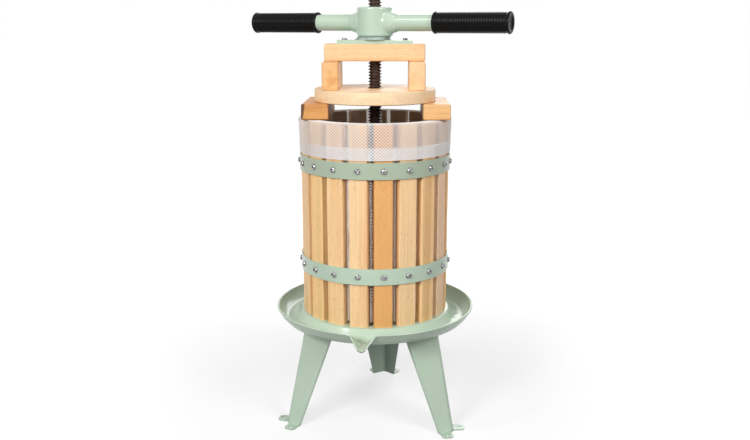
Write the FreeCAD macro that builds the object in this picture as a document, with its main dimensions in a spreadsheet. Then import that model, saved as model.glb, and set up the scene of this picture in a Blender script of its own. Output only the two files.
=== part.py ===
"""Hand-cranked basket press for fruit and cider, 12 litres, with its stand, basket, bag and screw head.

The origin is on the ground, on the axis of the spindle. +Z is up and the spout points to -Y.
Every driving dimension is a named cell of the spreadsheet, in millimetres or degrees.
Azimuths are turns about +Z, counted from -Y, so 0 is the spout's side.
"""
import FreeCAD, Part
import math
import os
import re
import Sketcher

Vector = FreeCAD.Vector
doc = FreeCAD.newDocument("basket_press")
sheet = doc.addObject("Spreadsheet::Sheet", "Dimensions")

DIMENSIONS = {
    # pressed steel tray, its raised platform, gutter, flared wall and pouring spout
    "sheet_steel": 1.5,
    "tray_base_z": 179.0,
    "wall_foot_radius": 151.5,
    "wall_knee_radius": 157.5,
    "wall_knee_height": 2.3,
    "wall_knee_slope": 35.0,
    "wall_waist_radius": 165.0,
    "wall_waist_height": 10.8,
    "wall_waist_slope": 57.0,
    "tray_rim_radius": 170.0,
    "tray_rim_z": 200.5,
    "rim_bead_radius": 2.0,
    "platform_z": 197.0,
    "platform_radius": 129.5,
    "platform_edge": 2.5,
    "platform_foot_radius": 140.0,
    "spout_fall": 0.3,
    "spout_root_y": 145.0,
    "spout_root_radius": 15.0,
    "spout_root_spread": 54.0,
    "spout_rim_y": 168.0,
    "spout_rim_bend_radius": 10.0,
    "spout_rim_spread": 38.0,
    "spout_tip_y": 187.0,
    "spout_tip_bend_radius": 7.8,
    "spout_tip_spread": 25.0,
    "spout_tip_lip_z": 184.0,
    "spout_bead_radius": 1.3,
    # folded sheet legs, bolted under the platform
    "leg_sheet": 2.5,
    "leg_wing_angle": 54.0,
    "leg_foot_radius": 167.5,
    "leg_top_radius": 127.0,
    "leg_foot_wing": 25.5,
    "leg_top_wing": 62.0,
    "leg_bend_radius": 6.0,
    "foot_tab_start": 6.5,
    "foot_tab_width": 19.0,
    "foot_tab_length": 19.0,
    "foot_tab_corner": 6.0,
    "foot_hole_offset": 11.0,
    "foot_hole_radius": 3.5,
    "leg_flange_start": 26.0,
    "leg_flange_width": 28.0,
    "leg_flange_length": 22.0,
    "leg_bolt_offset": 12.0,
    "leg_bolt_radius": 4.0,
    "leg_bolt_clearance": 0.3,
    "leg_bolt_head_radius": 7.0,
    "leg_bolt_head_height": 4.0,
    "leg_bolt_length": 13.0,
    "leg_nut_width": 13.0,
    "leg_nut_height": 6.5,
    # spindle and what anchors it in the platform
    "spindle_radius": 11.0,
    "spindle_top_z": 757.0,
    "spindle_stub_radius": 10.0,
    "spindle_end_chamfer": 2.0,
    "spindle_stub_clearance": 0.2,
    "spindle_collar_radius": 18.0,
    "spindle_collar_height": 5.0,
    "base_plate_radius": 46.0,
    "base_plate_height": 6.0,
    "spindle_washer_radius": 20.0,
    "spindle_washer_height": 3.0,
    "spindle_nut_width": 30.0,
    "spindle_nut_height": 14.0,
    "spindle_stub_projection": 3.0,
    # slatted basket
    "slat_count": 19,
    "slat_phase": 13.0,
    "slat_width": 30.0,
    "slat_thickness": 15.0,
    "slat_face_radius": 124.0,
    "slat_chamfer": 1.2,
    "basket_top_z": 527.0,
    "hoop_inner_radius": 125.1,
    "hoop_thickness": 2.0,
    "hoop_width": 26.5,
    "hoop_lower_z": 283.0,
    "hoop_upper_z": 454.8,
    "screw_head_radius": 4.8,
    "screw_head_height": 2.6,
    # mesh bag that lines the basket and folds over its rim
    "bag_wall": 1.2,
    "bag_outer_radius": 108.6,
    "bag_floor_z": 201.6,
    "bag_hole_radius": 19.5,
    "bag_rim_gap": 0.3,
    "bag_skirt_bottom_z": 471.0,
    "bag_skirt_radius": 126.6,
    # wooden blocks and board stacked on the basket
    "stack_yaw": 5.4,
    "wood_edge": 1.8,
    "wane_top_width": 6.5,
    "wane_bottom_width": 2.0,
    "lower_block_width": 44.5,
    "lower_block_length": 150.0,
    "lower_block_height": 25.0,
    "lower_block_inner_x": 75.6,
    "lower_block_z": 529.0,
    "lower_block_shift_x": 2.6,
    "lower_block_shift_y": 4.0,
    "board_radius": 101.0,
    "board_height": 21.0,
    "board_bore_radius": 13.0,
    "upper_block_width": 26.6,
    "upper_block_length": 120.0,
    "upper_block_height": 45.0,
    "upper_block_inner_x": 56.5,
    "upper_block_shift_x": -1.0,
    "crossbar_length": 164.4,
    "crossbar_depth": 62.0,
    "crossbar_height": 27.6,
    "crossbar_bore_radius": 13.0,
    # screw head: thrust plate, collar, hub, tubes and grips
    "plate_length": 123.0,
    "plate_depth": 58.0,
    "plate_height": 6.0,
    "plate_screw_x": 50.0,
    "plate_screw_radius": 2.4,
    "plate_screw_length": 20.0,
    "plate_screw_clearance": 0.15,
    "collar_height": 5.8,
    "collar_bottom_radius": 34.0,
    "collar_top_radius": 27.5,
    "collar_bore_radius": 12.0,
    "handle_yaw": -19.6,
    "handle_z": 681.0,
    "hub_radius": 29.5,
    "hub_height": 46.5,
    "hub_edge": 1.5,
    "hub_clearance": 0.05,
    "boss_root_radius": 21.2,
    "boss_root_x": 24.5,
    "boss_waist_radius": 17.2,
    "boss_waist_x": 32.0,
    "boss_end_radius": 14.4,
    "boss_end_x": 42.0,
    "tube_radius": 13.45,
    "tube_wall": 2.35,
    "tube_start_x": 24.0,
    "tube_end_x": 227.4,
    "grip_start_x": 105.8,
    "grip_end_x": 232.0,
    "grip_radius": 16.2,
    "grip_flange_radius": 17.4,
    "grip_flange_width": 3.5,
    "grip_fit": 0.05,
    "grip_recess_radius": 11.0,
    "grip_recess_depth": 1.5,
}
# sizes that follow from the ones above
DERIVED = {
    "gutter_z": "tray_base_z + sheet_steel",
    "platform_under_z": "platform_z - sheet_steel",
    "leg_top_z": "platform_z - sheet_steel",
    "leg_lean": "atan((leg_foot_radius - leg_top_radius) / leg_top_z)",
    "leg_fold_angle": "atan(tan(leg_wing_angle) / cos(leg_lean))",
    "slat_inner_radius": "slat_face_radius - slat_thickness",
    "base_plate_z": "platform_z - sheet_steel - base_plate_height",
    "spindle_washer_z": "base_plate_z - spindle_washer_height",
    "spindle_nut_z": "spindle_washer_z - spindle_nut_height",
    "board_z": "lower_block_z + lower_block_height",
    "upper_block_z": "board_z + board_height",
    "crossbar_z": "upper_block_z + upper_block_height",
    "plate_z": "crossbar_z + crossbar_height",
    "collar_z": "plate_z + plate_height",
    "hub_z": "collar_z + collar_height",
}


def fill_sheet():
    """Write each dimension and each derived size into a row of the sheet, with its alias."""
    rows = list(DIMENSIONS.items())
    rows += [(alias, "=" + formula) for alias, formula in DERIVED.items()]
    for row, (alias, content) in enumerate(rows, start=1):
        sheet.set(f"A{row}", alias)
        sheet.set(f"B{row}", str(content))
        sheet.setAlias(f"B{row}", alias)
    doc.recompute()


def bound(formula):
    """The formula with every alias written as the sheet's cell."""
    def full_name(match):
        word = match.group(0)
        return "Dimensions." + word if word in DIMENSIONS or word in DERIVED else word
    return re.sub(r"[a-z_]+[a-z0-9_]*", full_name, str(formula))


def size(formula):
    """The present value of a formula of aliases."""
    return float(sheet.evalExpression(bound(formula)))


def bind(thing, **formulas):
    """Bind properties to formulas of aliases; Placement parts are written with __ for a dot."""
    for name, formula in formulas.items():
        thing.setExpression(name.replace("__", "."), bound(formula))


def new_body(label, yaw="0", height="0"):
    """A body turned about the spindle's axis and raised by formulas of aliases."""
    body = doc.addObject("PartDesign::Body", label)
    body.Label = label
    body.Placement = FreeCAD.Placement(Vector(0, 0, 0), FreeCAD.Rotation(Vector(0, 0, 1), size(yaw)))
    bind(body, Placement__Rotation__Angle=yaw, Placement__Base__z=height)
    return body


def new_sketch(body, name, plane, offset="0"):
    """A sketch on one of the body's origin planes, moved along the plane's normal."""
    sketch = body.newObject("Sketcher::SketchObject", name)
    origin_plane = [f for f in body.Origin.OriginFeatures if f.Role == plane][0]
    sketch.AttachmentSupport = [(origin_plane, "")]
    sketch.MapMode = "FlatFace"
    bind(sketch, AttachmentOffset__Base__z=offset)
    return sketch


def pin_point(sketch, geometry, position, corner):
    """Hold one point of a sketch at a corner given by two formulas."""
    for kind, formula in zip(("DistanceX", "DistanceY"), corner):
        held = Sketcher.Constraint(kind, -1, 1, geometry, position, size(formula))
        index = sketch.addConstraint(held)
        sketch.setExpression(f"Constraints[{index}]", bound(formula))


def arc_edge(start, end, centre, radius):
    """An arc between two points, and the numbers that the sketcher gives its start and end."""
    def angle(point):
        return math.atan2(point.y - centre.y, point.x - centre.x)
    circle = Part.Circle(centre, Vector(0, 0, 1), radius)
    if (start - centre).cross(end - centre).z > 0:
        return Part.ArcOfCircle(circle, angle(start), angle(end)), (1, 2)
    return Part.ArcOfCircle(circle, angle(end), angle(start)), (2, 1)


def add_outline(sketch, corners, arcs=None):
    """A closed outline through corners, each a pair of formulas.

    Its edges are straight, apart from those in arcs: edge number to the arc's centre and radius.
    """
    arcs = arcs or {}
    points = [Vector(size(x), size(y), 0) for x, y in corners]
    first = sketch.GeometryCount
    count = len(points)
    ends = []
    for index in range(count):
        start, end = points[index], points[(index + 1) % count]
        edge, order = Part.LineSegment(start, end), (1, 2)
        if index in arcs:
            centre, radius = arcs[index]
            edge, order = arc_edge(start, end, Vector(size(centre[0]), size(centre[1]), 0), size(radius))
        sketch.addGeometry(edge, False)
        ends.append(order)
    for index in range(count):
        following = (index + 1) % count
        joint = (first + index, ends[index][1], first + following, ends[following][0])
        sketch.addConstraint(Sketcher.Constraint("Coincident", *joint))
    for index, corner in enumerate(corners):
        pin_point(sketch, first + index, ends[index][0], corner)
    for index, (_, radius) in arcs.items():
        held = sketch.addConstraint(Sketcher.Constraint("Radius", first + index, size(radius)))
        sketch.setExpression(f"Constraints[{held}]", bound(radius))


def add_circle(sketch, centre, radius):
    """A circle whose centre and radius are formulas."""
    place = Vector(size(centre[0]), size(centre[1]), 0)
    index = sketch.addGeometry(Part.Circle(place, Vector(0, 0, 1), size(radius)), False)
    pin_point(sketch, index, 3, centre)
    held = sketch.addConstraint(Sketcher.Constraint("Radius", index, size(radius)))
    sketch.setExpression(f"Constraints[{held}]", bound(radius))


def box_corners(low_x, low_y, high_x, high_y):
    """The four corners of a rectangle."""
    return [(low_x, low_y), (high_x, low_y), (high_x, high_y), (low_x, high_y)]


def chamfered_corners(low_x, low_y, high_x, high_y, edge):
    """The eight corners of a rectangle with its corners cut off."""
    return [
        (f"{low_x} + {edge}", low_y), (f"{high_x} - {edge}", low_y),
        (high_x, f"{low_y} + {edge}"), (high_x, f"{high_y} - {edge}"),
        (f"{high_x} - {edge}", high_y), (f"{low_x} + {edge}", high_y),
        (low_x, f"{high_y} - {edge}"), (low_x, f"{low_y} + {edge}"),
    ]


def pad(body, sketch, length, reverse=False):
    """Raise a sketch by a formula."""
    feature = body.newObject("PartDesign::Pad", "Pad")
    feature.Profile = sketch
    feature.Reversed = reverse
    bind(feature, Length=length)
    doc.recompute()
    return feature


def pocket(body, sketch, depth, reverse=False):
    """Cut a sketch into the body, and make sure that something was cut."""
    before = body.Shape.Volume
    feature = body.newObject("PartDesign::Pocket", "Pocket")
    feature.Profile = sketch
    feature.Reversed = reverse
    bind(feature, Length=depth)
    doc.recompute()
    assert body.Shape.Volume < before - 1e-3, f"{body.Label}: a pocket cuts nothing"
    return feature


def turn(body, corners, kind="PartDesign::Revolution", angle=360.0):
    """Turn an outline of (radius, height) corners about the body's Z axis."""
    before = body.Shape.Volume if kind == "PartDesign::Groove" else 0.0
    sketch = new_sketch(body, "Profile", "XZ_Plane")
    add_outline(sketch, corners)
    feature = body.newObject(kind, "Turned")
    feature.Profile = sketch
    feature.ReferenceAxis = (sketch, ["V_Axis"])
    feature.Angle = angle
    doc.recompute()
    if kind == "PartDesign::Groove":
        assert body.Shape.Volume < before - 1e-3, f"{body.Label}: a groove cuts nothing"
    return feature


def loft(body, sections, kind="PartDesign::AdditiveLoft"):
    """A straight-sided loft through sketches."""
    feature = body.newObject(kind, "Loft")
    feature.Profile = sections[0]
    feature.Sections = sections[1:]
    feature.Ruled = True
    doc.recompute()
    return feature


def polar_copies(body, feature, count):
    """Repeat a feature round the body's Z axis."""
    axis = [f for f in body.Origin.OriginFeatures if f.Role == "Z_Axis"][0]
    pattern = body.newObject("PartDesign::PolarPattern", "Round")
    pattern.Originals = [feature]
    pattern.Axis = (axis, [""])
    pattern.Angle = 360.0
    bind(pattern, Occurrences=count)
    body.Tip = pattern
    doc.recompute()
    return pattern


def edges_where(feature, test):
    """The names of a feature's edges whose end points and middle pass a test."""
    return [f"Edge{number}" for number, edge in enumerate(feature.Shape.Edges, start=1) if test(edge)]


def round_edges(body, feature, test, radius, kind="PartDesign::Fillet"):
    """Fillet or chamfer the edges that pass a test."""
    names = edges_where(feature, test)
    assert names, f"{body.Label}: no edge to round"
    rounded = body.newObject(kind, "Edges")
    rounded.Base = (feature, names)
    bind(rounded, **{"Radius" if kind == "PartDesign::Fillet" else "Size": radius})
    doc.recompute()
    return rounded


# ---- stand -------------------------------------------------------------------------------------

def wall_outline(inset):
    """The tray's wall from its foot to its waist, moved inward by the given thickness."""
    return [
        ("wall_foot_radius", f"tray_base_z + {inset}"),
        (f"wall_knee_radius - {inset} * sin(wall_knee_slope)",
         f"tray_base_z + wall_knee_height + {inset} * cos(wall_knee_slope)"),
        (f"wall_waist_radius - {inset} * sin(wall_waist_slope)",
         f"tray_base_z + wall_waist_height + {inset} * cos(wall_waist_slope)"),
    ]


def hexagon(x, z, radius, turns=range(-90, 270, 60)):
    """Corners round a point, on a hexagon with two upright sides."""
    return [(f"{x} + {radius} * cos({turn})", f"{z} + {radius} * sin({turn})") for turn in turns]


def spout_section(body, y, bend, spread, bottom_z, lip_z, inset, rise):
    """A U across the spout: a round bottom and straight flanks that lean outward.

    The channel's section is the spout's own, moved inward by the inset, with upright sides above its lips.
    """
    sketch = new_sketch(body, "Spout", "XZ_Plane", y)
    radius = f"({bend} - {inset})"
    middle_z = f"({bottom_z} + {bend})"
    flank_x = f"{radius} * cos({spread})"
    flank_z = f"{middle_z} - {radius} * sin({spread})"
    lip_x = f"({flank_x} + ({lip_z} - ({flank_z})) * tan({spread}))"
    right = [(flank_x, flank_z), (lip_x, lip_z)]
    if rise != "0":
        right.append((lip_x, f"{lip_z} + {rise}"))
    left = [(f"-({x})", z) for x, z in right]
    add_outline(sketch, [left[0], *right, *left[:0:-1]], {0: (("0", middle_z), radius)})
    return sketch


SPOUT_SECTIONS = (
    ("spout_root_y", "spout_root_radius", "spout_root_spread", "tray_base_z + spout_fall", "tray_rim_z"),
    ("spout_rim_y", "spout_rim_bend_radius", "spout_rim_spread", "tray_base_z - spout_fall", "tray_rim_z"),
    ("spout_tip_y", "spout_tip_bend_radius", "spout_tip_spread", "tray_base_z - 2 * spout_fall",
     "spout_tip_lip_z"),
)


def spout_form(body, inset, rise, reach, kind):
    """The spout as a loft from the gutter through the tray's wall to the tip."""
    sections = []
    for y, bend, spread, bottom_z, lip_z in SPOUT_SECTIONS:
        further = f"{y} + {reach}" if y == "spout_tip_y" else y
        sections.append(spout_section(
            body, further, bend, spread, f"({bottom_z} + {inset})", lip_z, inset, rise))
    return loft(body, sections, kind)


def spout_bead(body, side):
    """The rolled edge along one lip of the spout, from the rim's bead down to the tip."""
    sections = []
    for y, bend, spread, bottom_z, lip_z in SPOUT_SECTIONS[1:]:
        rise = f"({lip_z} - ({bottom_z}) - {bend} + {bend} * sin({spread}))"
        lip_x = f"({bend} * cos({spread}) + {rise} * tan({spread}) - sheet_steel / 2)"
        sketch = new_sketch(body, "Lip", "XZ_Plane", y)
        add_outline(sketch, hexagon(f"{side} * {lip_x}", lip_z, "spout_bead_radius"))
        sections.append(sketch)
    loft(body, sections)


def bolt_spots():
    """The places of the leg bolts, as pairs of formulas in the leg's own turned frame."""
    along = "(leg_flange_start + leg_flange_width / 2)"
    spots = []
    for side in ("1", "-1"):
        x = f"leg_top_radius - {along} * cos(leg_wing_angle) - leg_bolt_offset * sin(leg_wing_angle)"
        y = f"{side} * ({along} * sin(leg_wing_angle) - leg_bolt_offset * cos(leg_wing_angle))"
        spots.append((x, y))
    return spots


def turned_point(spot, azimuth):
    """A point of the leg's frame, whose X is radial, in a frame where azimuth 0 is -Y."""
    x, y = spot
    return (f"({x}) * sin({azimuth}) - ({y}) * -cos({azimuth})",
            f"({x}) * -cos({azimuth}) + ({y}) * sin({azimuth})")


LEG_AZIMUTHS = {"leg_right": "60", "leg_rear": "180", "leg_left": "300"}


def make_tray():
    """The round tray: platform, gutter, flared wall and spout pressed from one sheet."""
    body = new_body("tray")
    bead = ("tray_rim_radius - sheet_steel / 2", "tray_rim_z", "rim_bead_radius")
    turn(body, [
        ("0", "tray_base_z"),
        *wall_outline("0"),
        *hexagon(*bead, turns=(-90, -30, 30, 90)),
        ("0", "tray_rim_z + rim_bead_radius"),
    ])
    spout_form(body, "0", "0", "0", "PartDesign::AdditiveLoft")
    clear_z = "tray_rim_z + 2 * rim_bead_radius"
    turn(body, [
        ("0", "platform_z"),
        ("platform_radius - platform_edge", "platform_z"),
        ("platform_radius", "platform_z - platform_edge"),
        ("platform_foot_radius", "gutter_z"),
        *wall_outline("sheet_steel"),
        *hexagon(*bead, turns=(210, 150, 90)),
        ("tray_rim_radius - sheet_steel / 2", clear_z),
        ("0", clear_z),
    ], "PartDesign::Groove")
    spout_form(body, "sheet_steel", "spout_root_radius", "1", "PartDesign::SubtractiveLoft")
    for side in ("1", "-1"):
        spout_bead(body, side)
    turn(body, [
        ("0", "tray_base_z - 1"),
        ("platform_foot_radius - sheet_steel", "tray_base_z - 1"),
        ("platform_foot_radius - sheet_steel", "tray_base_z"),
        ("platform_radius - sheet_steel", "platform_under_z - platform_edge / 2"),
        ("platform_radius - platform_edge", "platform_under_z"),
        ("0", "platform_under_z"),
    ], "PartDesign::Groove")
    holes = new_sketch(body, "Holes", "XY_Plane", "platform_z")
    add_circle(holes, ("0", "0"), "spindle_stub_radius + spindle_stub_clearance")
    for azimuth in LEG_AZIMUTHS.values():
        for spot in bolt_spots():
            add_circle(holes, turned_point(spot, azimuth), "leg_bolt_radius + leg_bolt_clearance")
    pocket(body, holes, "2 * sheet_steel")


def leg_fold(body):
    """The leg's sheet folded into a V with a round ridge, padded along the slanting ridge.

    The sketch's plane is square to the ridge, and starts below the ground.
    """
    sketch = new_sketch(body, "Fold", "XY_Plane")
    tilt = FreeCAD.Rotation(Vector(0, -1, 0), size("leg_lean"))
    sketch.AttachmentOffset = FreeCAD.Placement(Vector(0, 0, 0), tilt)
    bind(sketch, AttachmentOffset__Base__x="leg_foot_radius * sin(leg_lean)",
         AttachmentOffset__Base__z="-leg_foot_radius * cos(leg_lean)",
         AttachmentOffset__Rotation__Angle="leg_lean")
    ridge = "leg_foot_radius * cos(leg_lean)"
    wing = "(leg_top_wing + leg_sheet)"
    outer = "(leg_bend_radius + leg_sheet)"
    centre = (f"{ridge} - {outer} / sin(leg_fold_angle)", "0")

    def wing_corner(depth, side):
        return (f"{ridge} - {wing} * cos(leg_fold_angle) - {depth} * sin(leg_fold_angle)",
                f"{side} * ({wing} * sin(leg_fold_angle) - {depth} * cos(leg_fold_angle))")

    def bend_corner(bend, side):
        return (f"{centre[0]} + {bend} * sin(leg_fold_angle)", f"{side} * {bend} * cos(leg_fold_angle)")

    add_outline(sketch, [
        bend_corner(outer, "1"), wing_corner("0", "1"), wing_corner("leg_sheet", "1"),
        bend_corner("leg_bend_radius", "1"), bend_corner("leg_bend_radius", "-1"),
        wing_corner("leg_sheet", "-1"), wing_corner("0", "-1"), bend_corner(outer, "-1"),
    ], {3: (centre, "leg_bend_radius"), 7: (centre, outer)})
    pad(body, sketch, "2 * leg_foot_radius + leg_top_z")


def leg_trim(body):
    """Cut the folded sheet level at both ends and taper its wings towards the foot."""
    sketch = new_sketch(body, "Trim", "YZ_Plane", "2 * leg_foot_radius")
    reach = "2 * leg_foot_radius"
    add_outline(sketch, box_corners(f"-{reach}", f"-{reach}", reach, f"leg_top_z + {reach}"))
    foot = "leg_foot_wing * sin(leg_wing_angle)"
    top = "leg_top_wing * sin(leg_wing_angle)"
    add_outline(sketch, [(f"-{foot}", "0"), (foot, "0"), (top, "leg_top_z"), (f"-{top}", "leg_top_z")])
    pocket(body, sketch, "4 * leg_foot_radius")


def wing_point(radius, along, outward, side):
    """A point given by its way along a wing from the ridge and its distance outward from it."""
    x = f"{radius} - ({along}) * cos(leg_wing_angle) + ({outward}) * sin(leg_wing_angle)"
    y = f"{side} * (({along}) * sin(leg_wing_angle) + ({outward}) * cos(leg_wing_angle))"
    return x, y


def wing_tab(body, radius, height, start, width, low, high, side):
    """A tab folded out of a wing, flat and as thick as the sheet."""
    corners = [(start, low), (f"{start} + {width}", low), (f"{start} + {width}", high), (start, high)]
    sketch = new_sketch(body, "Tab", "XY_Plane", height)
    add_outline(sketch, [wing_point(radius, along, outward, side) for along, outward in corners])
    return pad(body, sketch, "leg_sheet")


def make_leg(label, azimuth):
    """One leg: a tapering folded sheet with two drilled foot tabs and two drilled top flanges."""
    body = new_body(label, f"{azimuth} - 90")
    leg_fold(body)
    leg_trim(body)
    for side in ("1", "-1"):
        wing_tab(body, "leg_foot_radius", "0", "foot_tab_start", "foot_tab_width",
                 "-leg_sheet", "foot_tab_length", side)
        tabs = wing_tab(body, "leg_top_radius", "leg_top_z - leg_sheet", "leg_flange_start",
                        "leg_flange_width", "-leg_flange_length", "-leg_sheet / 2", side)
    outer = [wing_point("leg_foot_radius", along, "foot_tab_length", side)
             for along in ("foot_tab_start", "foot_tab_start + foot_tab_width") for side in ("1", "-1")]
    spots = [(size(x), size(y)) for x, y in outer]

    def is_tab_corner(edge):
        ends = [vertex.Point for vertex in edge.Vertexes]
        upright = abs(edge.BoundBox.ZLength - size("leg_sheet")) < 1e-3
        near = any(abs(ends[0].x - x) + abs(ends[0].y - y) < 1e-2 for x, y in spots)
        return upright and near and edge.BoundBox.ZMin < 1e-3

    round_edges(body, tabs, is_tab_corner, "foot_tab_corner")
    foot_holes = new_sketch(body, "FootHoles", "XY_Plane", "leg_sheet")
    for side in ("1", "-1"):
        middle = wing_point("leg_foot_radius", "foot_tab_start + foot_tab_width / 2", "foot_hole_offset", side)
        add_circle(foot_holes, middle, "foot_hole_radius")
    pocket(body, foot_holes, "leg_sheet")
    bolt_holes = new_sketch(body, "BoltHoles", "XY_Plane", "leg_top_z")
    for spot in bolt_spots():
        add_circle(bolt_holes, spot, "leg_bolt_radius + leg_bolt_clearance")
    pocket(body, bolt_holes, "leg_sheet")


def group(label, members):
    """Several like solids in one node."""
    compound = doc.addObject("Part::Compound", label)
    compound.Label = label
    compound.Links = members
    doc.recompute()
    return compound


def place(thing, x, y, z):
    """Bind a primitive's place to formulas."""
    bind(thing, Placement__Base__x=x, Placement__Base__y=y, Placement__Base__z=z)


def make_leg_fasteners():
    """Six button-head bolts through the platform and the legs' flanges, and their nuts."""
    bolts = []
    nuts = []
    for azimuth in LEG_AZIMUTHS.values():
        for spot in bolt_spots():
            x, y = turned_point(spot, azimuth)
            head = doc.addObject("Part::Cylinder", "BoltHead")
            bind(head, Radius="leg_bolt_head_radius", Height="leg_bolt_head_height")
            place(head, x, y, "platform_z")
            shank = doc.addObject("Part::Cylinder", "BoltShank")
            bind(shank, Radius="leg_bolt_radius", Height="leg_bolt_length")
            place(shank, x, y, "platform_z - leg_bolt_length")
            bolt = doc.addObject("Part::Fuse", "Bolt")
            bolt.Base = head
            bolt.Tool = shank
            bolts.append(bolt)
            blank = doc.addObject("Part::Prism", "NutBlank")
            blank.Polygon = 6
            bind(blank, Circumradius="leg_nut_width / 2 / cos(30)", Height="leg_nut_height")
            place(blank, x, y, "leg_top_z - leg_sheet - leg_nut_height")
            bore = doc.addObject("Part::Cylinder", "NutBore")
            bind(bore, Radius="leg_bolt_radius", Height="leg_nut_height")
            place(bore, x, y, "leg_top_z - leg_sheet - leg_nut_height")
            nut = doc.addObject("Part::Cut", "Nut")
            nut.Base = blank
            nut.Tool = bore
            nuts.append(nut)
    group("leg_bolts", bolts)
    group("leg_nuts", nuts)


def make_spindle():
    """The spindle at its thread's major diameter, with the turned-down stub that its nut holds."""
    body = new_body("spindle")
    turn(body, [
        ("0", "spindle_nut_z - spindle_stub_projection"),
        ("spindle_stub_radius - spindle_end_chamfer / 2", "spindle_nut_z - spindle_stub_projection"),
        ("spindle_stub_radius", "spindle_nut_z - spindle_stub_projection + spindle_end_chamfer / 2"),
        ("spindle_stub_radius", "platform_z"),
        ("spindle_radius", "platform_z"),
        ("spindle_radius", "spindle_top_z - spindle_end_chamfer"),
        ("spindle_radius - spindle_end_chamfer", "spindle_top_z"),
        ("0", "spindle_top_z"),
    ])


def make_ring(label, inner, outer, low, high):
    """A plain turned ring."""
    turn(new_body(label), box_corners(inner, low, outer, high))


def make_spindle_anchor():
    """The collar on the platform, and the plate, washer and nut under it."""
    make_ring("spindle_collar", "spindle_radius", "spindle_collar_radius",
              "platform_z", "platform_z + spindle_collar_height")
    bore = "spindle_stub_radius + spindle_stub_clearance"
    make_ring("base_plate", bore, "base_plate_radius", "base_plate_z", "platform_under_z")
    make_ring("spindle_washer", bore, "spindle_washer_radius", "spindle_washer_z", "base_plate_z")
    blank = doc.addObject("Part::Prism", "SpindleNutBlank")
    blank.Polygon = 6
    bind(blank, Circumradius="spindle_nut_width / 2 / cos(30)", Height="spindle_nut_height")
    place(blank, "0", "0", "spindle_nut_z")
    bore = doc.addObject("Part::Cylinder", "SpindleNutBore")
    bind(bore, Radius="spindle_stub_radius", Height="spindle_nut_height")
    place(bore, "0", "0", "spindle_nut_z")
    nut = doc.addObject("Part::Cut", "spindle_nut")
    nut.Label = "spindle_nut"
    nut.Base = blank
    nut.Tool = bore


# ---- basket ------------------------------------------------------------------------------------

def make_slat(number):
    """One upright slat."""
    body = new_body(f"slat_{number + 1:02d}", f"slat_phase + {number} * 360 / slat_count")
    section = new_sketch(body, "Section", "XY_Plane", "platform_z")
    add_outline(section, chamfered_corners(
        "-slat_width / 2", "-slat_face_radius", "slat_width / 2", "-slat_inner_radius", "slat_chamfer"))
    pad(body, section, "basket_top_z - platform_z")


def make_hoop(label, middle_z):
    """A flat steel band round the slats."""
    make_ring(label, "hoop_inner_radius", "hoop_inner_radius + hoop_thickness",
              f"{middle_z} - hoop_width / 2", f"{middle_z} + hoop_width / 2")


def make_hoop_screws(label, middle_z):
    """The screws' heads on the hoop, one a slat; their shanks are hidden in the wood and left out."""
    body = new_body(label, "slat_phase")
    body.AllowCompound = True
    sketch = new_sketch(body, "Head", "XZ_Plane", "hoop_inner_radius + hoop_thickness")
    add_circle(sketch, ("0", middle_z), "screw_head_radius")
    head = pad(body, sketch, "screw_head_height")
    polar_copies(body, head, "slat_count")


# ---- bag, blocks and board ---------------------------------------------------------------------

def make_bag():
    """The bag as a thin closed skin: floor, wall inside the slats, fold over the rim, outer skirt."""
    body = new_body("filter_bag")
    rim_z = "basket_top_z + bag_rim_gap"
    turn(body, [
        ("bag_hole_radius", "bag_floor_z"),
        ("bag_outer_radius", "bag_floor_z"),
        ("bag_outer_radius", rim_z),
        ("bag_skirt_radius", rim_z),
        ("bag_skirt_radius", "bag_skirt_bottom_z"),
        ("bag_skirt_radius + bag_wall", "bag_skirt_bottom_z"),
        ("bag_skirt_radius + bag_wall", f"{rim_z} + bag_wall"),
        ("bag_outer_radius - bag_wall", f"{rim_z} + bag_wall"),
        ("bag_outer_radius - bag_wall", "bag_floor_z + bag_wall"),
        ("bag_hole_radius", "bag_floor_z + bag_wall"),
    ])


def ease_edges(body, feature):
    """Take the sharpness off every edge of a planed block."""
    round_edges(body, feature, lambda edge: True, "wood_edge", "PartDesign::Chamfer")


def make_block(label, low_x, width, length, low_z, height, shift_y="0"):
    """A wooden block across the spindle's axis, planed square."""
    body = new_body(label, "stack_yaw")
    section = new_sketch(body, "Section", "XZ_Plane", f"-{length} / 2 - {shift_y}")
    corners = box_corners(low_x, low_z, f"({low_x}) + {width}", f"{low_z} + {height}")
    add_outline(section, corners)
    ease_edges(body, pad(body, section, length))
    return body


def cut_wane(body):
    """The bevel where the left lower block's front outer corner was the log's own surface."""
    outer_x = "lower_block_shift_x - lower_block_inner_x - lower_block_width"
    front_y = "lower_block_shift_y - lower_block_length / 2"
    sections = []
    for height, width in (("lower_block_z", "wane_bottom_width"),
                          ("lower_block_z + lower_block_height", "wane_top_width")):
        sketch = new_sketch(body, "Wane", "XY_Plane", height)
        add_outline(sketch, [
            (f"{outer_x} - 1", f"{front_y} - 1"),
            (f"{outer_x} + {width} + 1", f"{front_y} - 1"),
            (f"{outer_x} - 1", f"{front_y} + {width} + 1"),
        ])
        sections.append(sketch)
    loft(body, sections, "PartDesign::SubtractiveLoft")


def make_blocks():
    """Two flat blocks across the basket's rim and two standing ones on the board."""
    outer_left = "lower_block_shift_x - lower_block_inner_x - lower_block_width"
    for side, low_x in (("left", outer_left), ("right", "lower_block_shift_x + lower_block_inner_x")):
        block = make_block(f"lower_block_{side}", low_x, "lower_block_width", "lower_block_length",
                           "lower_block_z", "lower_block_height", "lower_block_shift_y")
        if side == "left":
            cut_wane(block)
    outer_left = "upper_block_shift_x - upper_block_inner_x - upper_block_width"
    for side, low_x in (("left", outer_left), ("right", "upper_block_shift_x + upper_block_inner_x")):
        make_block(f"upper_block_{side}", low_x, "upper_block_width", "upper_block_length",
                   "upper_block_z", "upper_block_height")


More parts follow.
